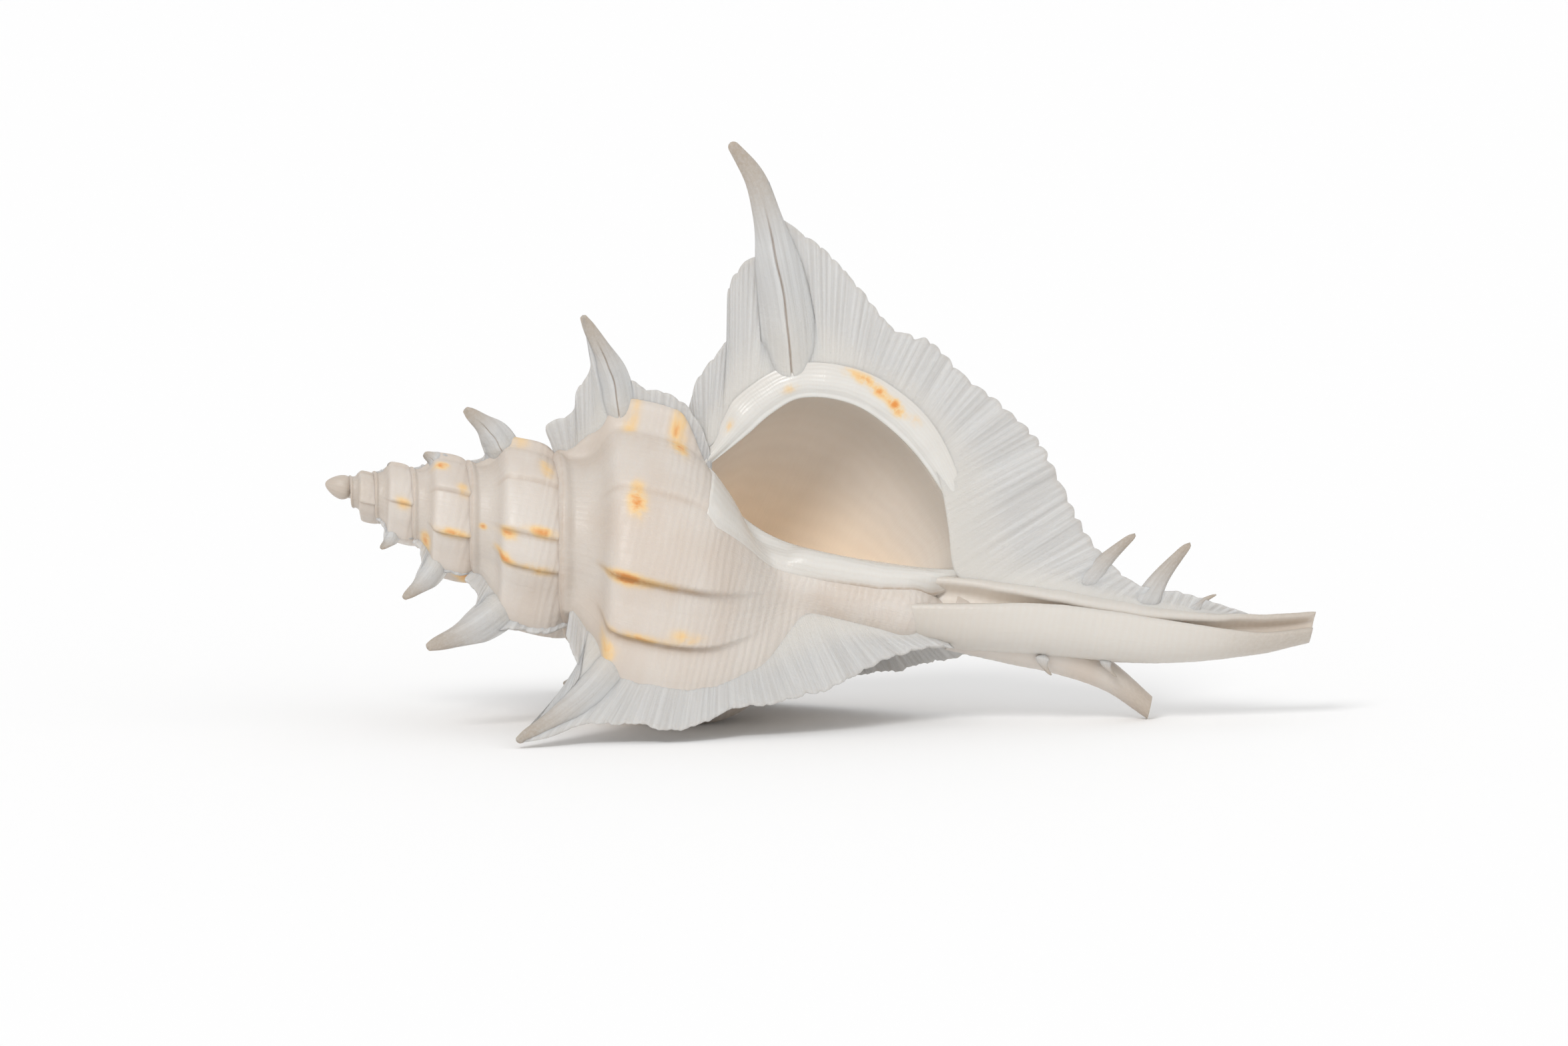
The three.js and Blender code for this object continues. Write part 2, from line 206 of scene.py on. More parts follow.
# The middle line of the newest spine, from its foot (0) to its tip (1), and the half width of any
# spine, in shares.
LIP_SPINE = [
    (0, 1.036, 0.432), (0.12, 1.02, 0.482), (0.32, 0.986, 0.59), (0.54, 0.937, 0.711),
    (0.76, 0.883, 0.824), (0.88, 0.841, 0.893), (1, 0.772, 0.957),
]
SPINE_WIDTH = [
    (0, 0.085), (0.15, 0.07), (0.5, 0.056), (0.7, 0.035), (0.9, 0.0225), (1, 0.011),
]

# Orange spots on the lip's band: place round the mouth, row on the band, strength.
LIP_SPOTS = [
    (0.252, 5, 0.6), (0.273, 8, 0.7), (0.297, 9, 0.75), (0.234, 3, 0.35), (0.16, 16, 0.3),
    (0.335, 8, 0.3), (0.06, 8, 0.35), (0.31, 12, 0.5),
]

# How far the callus spreads forwards, in turns, against the place round the mouth.
CALLUS_PLACES = [0.68, 0.76, 0.9, 0.955, 0.985, 1.0]
CALLUS_SPREAD = [0.16, 0.18, 0.18, 0.18, 0.165, 0.13]

# Canals as (along, out, towards the back, radius, slit's angle, slit's half opening), lengths
# as shares of the lip's size and angles in degrees round the axis, forwards from the top.
CANAL = [
    (1.3, 0.004, 0.0, 0.05, 46, 34), (1.37, 0.008, 0.0, 0.064, 46, 33),
    (1.45, 0.018, 0.0, 0.079, 46, 29), (1.56, 0.03, 0.0, 0.083, 46, 20),
    (1.65, 0.041, 0.003, 0.08, 45, 12), (1.73, 0.05, 0.006, 0.077, 45, 7),
    (1.82, 0.057, 0.013, 0.073, 45, 4), (1.94, 0.067, 0.026, 0.067, 45, 4),
    (2.07, 0.088, 0.045, 0.057, 45, 14), (2.14, 0.105, 0.057, 0.051, 45, 27),
    (2.21, 0.123, 0.07, 0.045, 46, 36), (2.306, 0.158, 0.09, 0.036, 46, 42),
]
OLD_CANAL = [
    (1.5, 0.0, 0.01, 0.064, -90, 3), (1.62, -0.01, 0.025, 0.057, -90, 6),
    (1.75, -0.02, 0.037, 0.047, -90, 14), (1.87, -0.045, 0.055, 0.036, -90, 25),
    (1.985, -0.1, 0.075, 0.026, -90, 36),
]

# Thorns on the canal: foot and tip as (along, out, towards the back), and the radius at the
# foot, all in shares of the lip's size.
THORNS = [
    ((1.765, 0.11, 0.02), (1.862, 0.287, 0.024), 0.042),
    ((1.91, 0.09, 0.025), (1.989, 0.293, 0.035), 0.042),
    ((2.03, 0.13, 0.04), (2.073, 0.19, 0.04), 0.022),
    ((1.72, -0.02, -0.02), (1.745, -0.066, -0.03), 0.022),
    ((1.86, 0.0, 0.0), (1.892, -0.04, -0.01), 0.02),
]


# ---- the coil

def smooth(x, low, high):
    """From 0 at low to 1 at high, level at both."""
    t = np.clip((x - low) / (high - low), 0, 1)
    return t * t * (3 - 2 * t)


def hump(x, middle, width):
    """A bell of height 1."""
    return np.exp(-(((x - middle) / width) ** 2))


def soft_max(a, b, reach):
    """The larger of a and b, blended where they are within about reach of each other."""
    return 0.5 * (a + b + np.sqrt((a - b) ** 2 + reach**2))


def curve(points, x):
    """A smooth curve through (x, y, ...) points, read at x."""
    p = np.array(points, float)
    slopes = np.gradient(p[:, 1:], axis=0) / np.gradient(p[:, 0])[:, None]
    x = np.clip(x, p[0, 0], p[-1, 0])
    i = np.clip(np.searchsorted(p[:, 0], x, side="right") - 1, 0, len(p) - 2)
    span = p[i + 1, 0] - p[i, 0]
    t = ((x - p[i, 0]) / span)[..., None]
    span = span[..., None]
    start, end = p[i, 1:], p[i + 1, 1:]
    value = start + (end - start) * (3 - 2 * t) * t * t
    value = value + slopes[i] * span * t * (1 - t) ** 2 - slopes[i + 1] * span * t * t * (1 - t)
    return value[..., 0] if p.shape[1] == 2 else value


def stacked(*parts):
    """Arrays, broadcast to one shape, as the last axis of one array."""
    return np.stack(np.broadcast_arrays(*parts), -1)


def whorl_size(turn):
    return LIP * GROWTH_PER_TURN ** np.asarray(turn, float)


def place(turn, along, out):
    """Points of the shell, pole at the origin, from the coil's own terms."""
    angle = np.asarray(turn, float) * 2 * math.pi
    up = out * np.cos(angle)
    x = along * math.cos(AXIS_DIP) + up * math.sin(AXIS_DIP)
    z = -along * math.sin(AXIS_DIP) + up * math.cos(AXIS_DIP)
    return stacked(x, -out * np.sin(angle), z)


def growth_direction(turn):
    """The unit vector round the axis, towards the newer end of the coil."""
    return place(np.asarray(turn, float) + 0.25, 0.0, 1.0)


def ripple(x, seed):
    """An uneven wave along x, between about -1 and 1."""
    wave = np.sin(x + seed) + 0.6 * np.sin(1.73 * x + 2.1 * seed) + 0.4 * np.sin(0.57 * x + seed**2)
    return wave / 1.7


def varix_reach(turn, along, out):
    """How far out a spine's tip is, as a share. Without a given reach it is down on the floor."""
    if out is not None:
        return out
    size = float(whorl_size(turn))
    drop = math.cos(turn * 2 * math.pi) * math.cos(AXIS_DIP)
    return (FLOOR + along * size * math.sin(AXIS_DIP)) / drop / size - TIP_CLEARANCE / size


def whorl_relief(turn, share):
    """Ridges, ribs, growth lines and a slow swell, as a height in shares of the whorl's size."""
    flank = smooth(share, 0.9, 1.02) * (1 - smooth(share, 1.3, 1.5))
    # A ridge is flat where the next whorl or the callus covers it.
    buried = (1 - smooth(turn, -0.93, -0.83)) * smooth(share, 1.2, 1.36)
    height = 0.0
    for varix, _, _, wide in VARICES:
        older_side = (1 - smooth(varix - turn, -0.01, 0.085)) ** 2.2
        newer_side = hump(turn, varix, 0.010)
        ridge = np.where(turn < varix, older_side, newer_side)
        tall = RIDGE_LEAST + RIDGE_PER_WING * wide
        height = height + tall * ridge * smooth(share, 0.81, 0.97) * (1 - buried)
    for rib, tall in RIBS:
        width = np.where(turn < rib, 0.03, 0.0048)
        older = 1 + 1.1 * smooth(-rib, 2.0, 3.0)
        height = height + RIB_HEIGHT * older * tall * hump(turn, rib, width) * flank
    lines = ripple(turn * 430, 1.3) * (0.6 + 0.4 * ripple(turn * 37, 2.2))
    height = height + LINE_HEIGHT * lines
    swell = ripple(turn * 23 + share * 9, 0.4) * ripple(share * 17 - turn * 11, 1.9)
    return height + SWELL_HEIGHT * swell * flank


def whorl_out(turn, share):
    """Distance of the shell's outside from the axis, in millimetres."""
    turn, share = np.broadcast_arrays(np.asarray(turn, float), np.asarray(share, float))
    size = whorl_size(turn)
    widening = 1 + MOUTH_WIDENING * smooth(turn, -0.3, 0)
    reach = size * widening * curve(WHORL_PROFILE, share)
    fade = 1 - smooth(share, 1.45, 1.6)
    reach = reach + size * whorl_relief(turn, share) * fade
    flare = LIP_FLARE * smooth(turn, -0.06, 0) * smooth(share, 0.86, 0.98) * fade
    reach = reach + flare
    along = share * size
    neck = np.where(along > NECK_START, NECK * (1 - 0.75 * smooth(along, *NECK_NARROWS)), 0.0)
    return np.where(neck > 0, soft_max(reach, neck, 1.6), reach)


# ---- meshes

# What the materials read at each point, each from 0 to about 1.
MASKS = ("orange", "stain_and_shade", "worn_and_shade", "enamel", "depth", "cords")


class Sheet:
    """Grids of points gathered for one piece, with what its materials read."""

    def __init__(self):
        self.points = []
        self.coil = []
        self.masks = {name: [] for name in MASKS}
        self.faces = []
        self.count = 0

    def add(self, points, coil, masks, wrap=False):
        """A grid of rows and columns. wrap joins the last column to the first."""
        rows, columns = points.shape[:2]
        total = rows * columns
        self.points.append(points.reshape(-1, 3))
        self.coil.append(np.broadcast_to(coil, points.shape).reshape(-1, 3))
        for name in MASKS:
            mask = np.broadcast_to(masks.get(name, 0.0), (rows, columns))
            self.masks[name].append(mask.reshape(-1))
        index = np.arange(total).reshape(rows, columns)
        if wrap:
            index = np.concatenate([index, index[:, :1]], 1)
        corners = [index[:-1, :-1], index[1:, :-1], index[1:, 1:], index[:-1, 1:]]
        quads = np.stack(corners, -1).reshape(-1, 4)
        self.faces.append(self.turned_out(points.reshape(-1, 3), quads, wrap) + self.count)
        self.count += total

    @staticmethod
    def turned_out(points, quads, closed):
        """The faces with their outside out, where the grid is a closed body."""
        if not closed:
            return quads
        a, b, c, d = (points[quads[:, i]] for i in range(4))
        volume = np.einsum("ij,ij->", a, np.cross(b, c)) + np.einsum("ij,ij->", a, np.cross(c, d))
        return quads if volume > 0 else quads[:, ::-1]

    def all_points(self):
        return np.concatenate(self.points)


def make_piece(name, sheet, shift, material):
    """Turns a sheet into a smooth object in metres."""
    points = (sheet.all_points() + shift) * MILLIMETRE
    faces = np.concatenate(sheet.faces)
    mesh = bpy.data.meshes.new(name)
    mesh.vertices.add(len(points))
    mesh.vertices.foreach_set("co", points.astype(np.float32).ravel())
    mesh.loops.add(faces.size)
    mesh.loops.foreach_set("vertex_index", faces.astype(np.int32).ravel())
    mesh.polygons.add(len(faces))
    mesh.polygons.foreach_set("loop_start", np.arange(0, faces.size, 4, dtype=np.int32))
    mesh.update(calc_edges=True)
    coil = mesh.attributes.new("coil", "FLOAT_VECTOR", "POINT")
    coil.data.foreach_set("vector", np.concatenate(sheet.coil).astype(np.float32).ravel())
    for mask_name in MASKS:
        mask = mesh.attributes.new(mask_name, "FLOAT", "POINT")
        mask.data.foreach_set("value", np.concatenate(sheet.masks[mask_name]).astype(np.float32))
    welded = bmesh.new()
    welded.from_mesh(mesh)
    bmesh.ops.remove_doubles(welded, verts=welded.verts, dist=2e-6)
    bmesh.ops.dissolve_degenerate(welded, edges=welded.edges, dist=1e-7)
    welded.to_mesh(mesh)
    welded.free()
    mesh.shade_smooth()
    mesh.materials.append(material)
    piece = bpy.data.objects.new(name, mesh)
    bpy.context.scene.collection.objects.link(piece)
    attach(piece, "root")
    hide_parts("shell")


def coil_terms(turn, share):
    """Distances in millimetres along the growth and across it, for the materials."""
    size = whorl_size(turn)
    grown = 2 * math.pi * WHORL_REACH * size / math.log(GROWTH_PER_TURN)
    return stacked(grown, share * size, 0.0 * size)


def orange_mask(turn, share):
    mask = 0.0
    for mark_turn, mark_share, long, wide, strength in MARKS:
        spot = hump(turn, mark_turn, long) * hump(share, mark_share, wide)
        mask = mask + strength * spot
    return np.clip(mask, 0, 1.2)


def stain_and_shade_mask(turn, share):
    """Painted shade in the suture, and in the step in front of each rib a brown line with painted shade
    over it.
    """
    mask = 0.3 * hump(share, 0.828, 0.008)
    for rib, tall in RIBS:
        step = hump(turn, rib + 0.0065, 0.0042)
        mask = mask + 0.6 * tall * step * smooth(share, 0.93, 1.0) * (1 - smooth(share, 1.22, 1.36))
    return np.clip(mask, 0, 1)


# ---- spire and body whorl

def add_whorls(sheet, turns, first_share, last_share, columns):
    """The outside of the whorls at these turns, as one strip along the coil."""
    turn = turns[:, None]
    across = np.linspace(0, 1, columns)[None, :]
    share = first_share + (np.reshape(last_share, (-1, 1)) - first_share) * across
    drawn_in = 0.3 + 0.7 * smooth(turn, FIRST_TURN, FIRST_TURN + 1.3)
    out = whorl_out(turn, share) * drawn_in
    along = share * whorl_size(turn)
    masks = {
        "orange": orange_mask(turn, share),
        "stain_and_shade": stain_and_shade_mask(turn, share),
        # Grey wear near the apex, and painted shade on the concave ramp between the suture and the
        # shoulder.
        "worn_and_shade": 0.4 * (1 - smooth(along, 0.07 * LIP, 0.26 * LIP))
        + 0.2 * smooth(share, 0.82, 0.86) * (1 - smooth(share, 0.955, 0.985)),
        "cords": (0.15 + 0.6 * smooth(share, 1.1, 1.24)) * smooth(share, 0.97, 1.02),
    }
    sheet.add(place(turn, along, out), coil_terms(turn, share), masks)


def evenly_grown(start, end, rows, evenness):
    """Turns from start to end, closer together where the whorl is large."""
    low, high = GROWTH_PER_TURN ** (start * evenness), GROWTH_PER_TURN ** (end * evenness)
    return np.log(np.linspace(low, high, rows)) / math.log(GROWTH_PER_TURN) / evenness


def make_spire():
    sheet = Sheet()
    turns = evenly_grown(FIRST_TURN, SPIRE_END, 640, 0.55)
    add_whorls(sheet, turns, SUTURE, SPIRE_SKIRT, 96)
    add_apex(sheet)
    return sheet


def add_apex(sheet):
    """The worn tip of the spire: a small closed bulb, narrower ahead and a little oval."""
    sides = np.linspace(0, 1, 49)[:-1][None, :]
    tilt = np.linspace(0, math.pi, 25)[:, None]
    along = APEX_MIDDLE - APEX_HALF_LENGTH * np.cos(tilt)
    narrower = 1 - 0.35 * np.cos(tilt)
    oval = 1 + 0.06 * np.cos(4 * math.pi * sides)
    out = APEX_RADIUS * np.sin(tilt) * narrower * oval
    coil = coil_terms(sides + FIRST_TURN, along / LIP)
    sheet.add(place(sides, along, out), coil, {"worn_and_shade": 0.55}, wrap=True)


def make_body():
    sheet = Sheet()
    turns = evenly_grown(BODY_START, 0.0, 480, 1.0)
    add_whorls(sheet, turns, SUTURE, BODY_END / whorl_size(turns), 165)
    return sheet


# ---- wings

def older_rays(outline, turn, tip_ray, tip, width):
    """Rays of an older wing, its feet on the whorl and its spine's tip at its own place."""
    rays = []
    size = float(whorl_size(turn))
    old_tip = outline[tip_ray][1:]
    for number, (foot_along, edge_along, edge_out) in enumerate(outline):
        foot_out = float(whorl_out(turn - 0.04, foot_along)) / size
        pull = max(0.0, 1 - abs(number - tip_ray) / 3) ** 1.3
        share = width + (1 - width) * pull
        edge_along = foot_along + (edge_along - foot_along) * share + (tip[0] - old_tip[0]) * pull
        edge_out = foot_out + (edge_out - foot_out) * share + (tip[1] - old_tip[1]) * pull
        rays.append((foot_along, foot_out * 0.86, edge_along, edge_out))
    return rays


def wing_outline(rays, tip_ray, rows, size):
    """Row by row: a wing's foot, its lobed edge, the way along the edge, the length from foot to
    edge, and two shares that fall to 0 at the spine and at the wing's ends."""
    spacing = np.hypot(*(np.diff(rays[:, 2:], axis=0).T)) + 0.012
    edge_way = np.concatenate([[0], np.cumsum(spacing)])
    numbered = np.column_stack([np.arange(len(rays)), rays])
    position = np.interp(np.linspace(0, edge_way[-1], rows), edge_way, np.arange(len(rays)))
    ray = curve(numbered, position)
    foot, edge = ray[:, :2] * size, ray[:, 2:] * size
    way = np.concatenate([[0], np.cumsum(np.hypot(*np.diff(edge, axis=0).T))])
    off_tip = smooth(np.abs(position - tip_ray), 1.0, 3.0)
    direction = edge - foot
    length = np.hypot(direction[:, 0], direction[:, 1])[:, None]
    lobe_way = way * math.pi / LOBE_SPACING + 0.9 * ripple(way / 3.1, 0.7)
    lobes = np.abs(np.sin(lobe_way)) ** 0.6 - 1.0
    lobes = lobes + 0.4 * ripple(way / 0.55, 3.3) * ripple(way / 2.3, 1.2) - 0.2
    lobe_size = LOBE_DEPTH * size * off_tip * np.minimum(1, length[:, 0] / (0.1 * size))
    edge = edge + direction / length * (lobes * lobe_size)[:, None]
    ends = smooth(position, 0, 0.3) * smooth(len(rays) - 1 - position, 0, 0.3)
    return foot, edge, way[:, None], length, off_tip[:, None], ends[:, None]


def add_wing(sheet, turn, rays, tip_ray, rows, steps):
    """A thin pleated blade, closed all round."""
    size = float(whorl_size(turn))
    outline = wing_outline(np.array(rays, float), tip_ray, rows, size)
    foot, edge, way, length, off_tip, ends = outline
    v = np.linspace(0, 1, steps)
    v = (1 - (1 - v) ** 1.25)[None, :, None]
    flat = foot[:, None] + (edge - foot)[:, None] * v
    v = v[..., 0]

    # The blade thins from its root to its edge, and its rim is round.
    scale = size / LIP
    blade_half = (0.2 + 0.12 * scale) + 0.9 * scale * (1 - smooth(v, 0.0, 0.4))
    rim = np.sqrt(np.clip(1 - ((v - 0.96) / 0.0401).clip(0, 1) ** 2, 0, 1))
    half = blade_half * rim * ends

    # Pleats run along the rays, with sharp valleys in front.
    pleat_way = way / PLEAT_SPACING + 0.5 * ripple(way / 4.0, 1.1)
    pleat = np.abs(np.sin(pleat_way * math.pi)) - 0.64
    folds = ripple(way / 1.35, 2.0)
    swing = off_tip * smooth(v, 0.1, 0.8) * (0.2 * pleat + 0.3 * folds) * scale**0.5
    curl = (OLDER_CURL if turn else LIP_CURL) * size * v**2 * off_tip
    middle = swing + curl * smooth(length / size, 0.05, 0.3)

    # The newest wing follows the canal as it bends away.
    back_line = np.interp(flat[..., 0] / LIP, [s[0] for s in CANAL], [s[2] for s in CANAL])
    middle = middle - back_line * LIP * (turn == 0)

    shared = (turn, flat[..., 0], flat[..., 1])
    across = growth_direction(turn)
    front = place(*shared) + (middle + half)[..., None] * across
    rear = place(*shared) + (middle - half)[..., None] * across

    worn_and_shade = 0.2 * smooth(v, 0.93, 1.0) + 0 * length
    cream = 1 - smooth(v, 0.1, 0.6) + 0 * length
    coil = stacked(way, v * length, 3.0)
    sheet.add(
        np.concatenate([front, rear[:, ::-1]], 1),
        np.concatenate([coil, coil[:, ::-1] + (0, 0, 9)], 1),
        {
            "worn_and_shade": np.concatenate([worn_and_shade, worn_and_shade[:, ::-1]], 1),
            "enamel": np.concatenate([cream, cream[:, ::-1]], 1),
        },
        wrap=True,
    )


def add_spine(sheet, turn, line, fat):
    """A long thorn that bears the wing: oval across, with a groove down its front."""
    size = float(whorl_size(turn))
    scale = size / LIP
    rows = int(50 + 70 * scale)
    t = 1 - (1 - np.linspace(0, 1, rows)) ** 1.3
    middle = curve(line, t) * size
    tangent = np.gradient(middle, axis=0)
    tangent /= np.hypot(tangent[:, 0], tangent[:, 1])[:, None]
    length = np.concatenate([[0], np.cumsum(np.hypot(*np.diff(middle, axis=0).T))])[:, None]
    blunt = np.sqrt(np.clip(1 - ((t - 0.985) / 0.015).clip(0) ** 2, 0, 1))
    half_width = (fat * size * curve(SPINE_WIDTH, t) * blunt)[:, None]
    t = t[:, None]

    # Once round the section: the front from side to side, then the rear back again.
    front = np.linspace(-1, 1, 43)
    front = np.sign(front) * np.abs(front) ** 1.5
    rear = np.cos(np.linspace(0, math.pi, 20)[1:-1])
    beside = np.concatenate([front, rear])[None, :]
    facing = np.concatenate([np.ones(len(front)), -np.ones(len(rear))])[None, :]
    arch = np.clip(1 - beside**2, 0, 1) ** (1.7 - 1.2 * smooth(t, 0.2, 0.75)) * facing
    beside = beside * half_width
    open_part = smooth(t, 0.02, 0.1) * (1 - smooth(t, 0.6, 0.85))
    groove = hump(beside, 0.14 * scale * ripple(t * 17, 0.6), 0.15 * scale) * open_part
    sides = hump(np.abs(beside) / half_width.clip(0.01), 0.5, 0.12) * open_part
    ahead = 0.66 * half_width * arch * smooth(t, -0.12, 0.32)
    ahead = ahead - (0.36 * groove + 0.06 * sides) * scale * (facing > 0)
    ahead = ahead + 0.1 * scale * ripple(t * 24 + beside * 0.4, 1.7) * smooth(t, 0, 0.1)
    along = middle[:, :1] + tangent[:, 1:] * beside
    out = middle[:, 1:] - tangent[:, :1] * beside
    points = place(turn, along, out) + ahead[..., None] * growth_direction(turn)
    foot = points[:1].mean(1, keepdims=True) + 0 * points[:1]
    tip = points[-1:].mean(1, keepdims=True) + 0 * points[-1:]
    points = np.concatenate([foot, points, tip])
    coil = stacked(beside * 1.2, length, 70.0)
    masks = {
        # Painted shade in the groove down the spine's front.
        "stain_and_shade": 0.45 * groove * (facing > 0),
        "worn_and_shade": smooth(t, 0.4 if turn else 0.6, 1.0) + 0 * beside,
        "enamel": 1 - smooth(t, 0.05, 0.5) + 0 * beside,
    }
    coil = np.concatenate([coil[:1], coil, coil[-1:]])
    masks = {name: np.concatenate([mask[:1], mask, mask[-1:]]) for name, mask in masks.items()}
    sheet.add(points, coil, masks, wrap=True)


def make_lip_wing():
    """The wing at the mouth, with the newest spine."""
    sheet = Sheet()
    add_wing(sheet, 0.0, LIP_WING, LIP_TIP_RAY, 560, 60)
    add_spine(sheet, 0.0, LIP_SPINE, 1.0)
    return sheet


def make_older_wing(turn, tip_along, tip_out, width):
    """A wing left behind by growth, with its spine from a sunk foot to the tip."""
    sheet = Sheet()
    tip = (tip_along, varix_reach(turn, tip_along, tip_out))
    outline, tip_ray = (LONG_WING, LONG_TIP_RAY) if turn > -0.9 else (SHORT_WING, SHORT_TIP_RAY)
    rays = older_rays(outline, turn, tip_ray, tip, width)
    scale = float(whorl_size(turn)) / LIP
    add_wing(sheet, turn, rays, tip_ray, int(80 + 310 * scale), int(13 + 29 * scale))
    foot = (1.04, 0.9 * float(whorl_out(turn, 1.04)) / (scale * LIP) - 0.1)
    bend = (0.5 * (foot[0] + tip[0]) + 0.03, 0.5 * (foot[1] + tip[1]) + 0.02)
    add_spine(sheet, turn, [(0, *foot), (0.5, *bend), (1, *tip)], 0.95 if turn > -1.2 else 1.5)
    return sheet


# ---- mouth

def mouth_rim(columns):
    """The mouth's edge: along, out, the place round it from 0 to 1, the place where the canal
    starts, and the direction away from the mouth."""
    loop = MOUTH_EDGE + MOUTH_EDGE[:1]
    steps = np.hypot(*np.diff(np.array(loop), axis=0).T)
    way = np.concatenate([[0], np.cumsum(steps)])
    closed = [(way[i], *loop[i]) for i in range(len(loop))]
    position = np.linspace(0, way[-1], columns, endpoint=False)
    edge = curve(closed, position)
    nudge = np.roll(edge, -1, 0) - np.roll(edge, 1, 0)
    outward = np.stack([-nudge[:, 1], nudge[:, 0]], -1)
    outward /= np.hypot(outward[:, 0], outward[:, 1])[:, None]
    along, out = edge[:, 0] * LIP, edge[:, 1] * LIP
    return along, out, position / way[-1], way[CANAL_POINT] / way[-1], outward


def lip_band(rim, band, taper, rim_height):
    """The outer lip: a round band that starts sunk in the wing and rolls over the rim."""
    along, out, way_round, _, outward = rim
    corner = 1 - smooth(np.minimum(way_round, 1 - way_round), 0.0, 0.1)
    width = ((BAND_WIDTH - 3.2 * corner) * (1 - 0.75 * taper))[None]
    offset = (1 - band) * width
    lift = rim_height[None] * smooth(band, -0.9, 0.5) + 0.35 * (1 - taper) * hump(band, 0.6, 0.22)
    lift = lift - 0.25 * band**6 - 0.14 * hump(band, 0.86, 0.035)
    lift = lift + 0.12 * ripple(way_round * 90, 0.5)[None] * band * (1 - band) * 4
    points = place(0.0, along + outward[:, 0] * offset, out + outward[:, 1] * offset)
    return points + lift[..., None] * growth_direction(0.0)


def callus(rim, band):
    """The inner lip: a thin callus that spreads forwards over the body and the columella."""
    along, out, way_round, canal_way, _ = rim
    places = [0.0, canal_way, canal_way + 0.08, *CALLUS_PLACES]
    turn = np.interp(way_round, places, [0.015, 0.02, 0.13, *CALLUS_SPREAD])[None] * (1 - band)
    body = whorl_out(turn - 1, along[None] / whorl_size(turn - 1))
    pillar = np.maximum(body, COLUMELLA * smooth(along, 0.95 * LIP, 1.15 * LIP)[None])
    body = body + (pillar - body) * smooth(band, 0.0, 0.6)
    thick = 0.65 * smooth(band, 0.0, 0.4) - 0.35 * (band < 0.02)
    free_end = smooth(along, 1.28 * LIP, 1.4 * LIP)[None] * smooth(band, 0.1, 0.3)
    face = np.maximum(body + thick + 0.3 * free_end, 0)
    face = face + (out[None] - face) * smooth(band, 0.6, 1.0)
    return place(turn, along[None], face)


def hollow_lining(rim, inner, rim_height):
    """The hollow, from the rim back along the spiral to its closed end, and how far back."""
    along, out = rim[:2]
    back = np.linspace(0, 1, 76)[1:, None]
    turn = -HOLLOW_TURNS * back**1.3
    size = whorl_size(turn) / LIP
    narrow = 1 - 0.17 * smooth(-turn, 0.0, 0.25)
    middle_along, middle_out = HOLLOW_MIDDLE
    closing = np.sqrt(np.clip(1 - smooth(back, 0.86, 1.0) ** 2, 0, 1))
    lining_along = (middle_along + (along - middle_along) * closing) * size
    lining_out = (middle_out + (out - middle_out) * closing) * size * narrow
    rim_lift = ((1 - inner) * (rim_height - 0.25))[None] * np.exp(-back * 26)
    points = place(turn, lining_along, lining_out) + rim_lift[..., None] * growth_direction(0.0)
    return points, turn[:, 0], back[:, 0]


def make_mouth():
    """The lip's band, the callus on the columella, and the lining of the hollow behind them."""
    rim = mouth_rim(columns=300)
    along, _, way_round, canal_way, _ = rim

    # The outer lip runs from the corner at the suture to the canal; the rest is columella.
    inner = smooth(way_round, canal_way, canal_way + 0.05)
    inner = np.maximum(inner * (1 - smooth(way_round, 0.985, 1.0)), 0)
    taper = smooth(way_round, 0.55 * canal_way, canal_way)
    rim_height = RIM_HEIGHT - 0.95 * taper - 0.4 * hump(way_round, canal_way + 0.01, 0.035)
    band = np.linspace(0, 1, 26)[:, None]
    share = inner[None, :, None]
    face = lip_band(rim, band, taper, rim_height) * (1 - share) + callus(rim, band) * share
    lining, turn, back = hollow_lining(rim, inner, rim_height)

    points = np.concatenate([face, lining])
    row = np.arange(len(points))[:, None]
    depth = np.concatenate([np.zeros(len(band)), smooth(-turn, 0.002, 0.3)])[:, None]
    enamel = np.concatenate([np.linspace(0.55, 1, len(band)), np.exp(-back * 18)])[:, None]
    coil = stacked(way_round[None] * 210, row * 0.4, 20.0)
    orange = 0.0
    for spot_way, spot_row, strength in LIP_SPOTS:
        orange = orange + strength * hump(way_round[None], spot_way, 0.011) * hump(row, spot_row, 4)
    # A dark line under the callus's raised free edge: its own ochre colour with painted shade under the
    # edge.
    stain_and_shade = 0.6 * inner[None] * smooth(along, 1.1 * LIP, 1.3 * LIP)[None] * hump(row, 1, 2)
    masks = {"depth": depth, "enamel": enamel, "orange": np.clip(orange, 0, 1), "stain_and_shade": stain_and_shade}
    sheet = Sheet()
    sheet.add(points, coil, masks)
    # The grid is open at its seam, which the corner at the suture hides: close it.
    seam = np.stack([points[:, -1], points[:, 0]], 1)
    seam_coil = np.stack([coil[:, -1], coil[:, 0]], 1)
    sheet.add(seam, seam_coil, {"depth": depth, "enamel": enamel})
    return sheet


# ---- canals and thorns

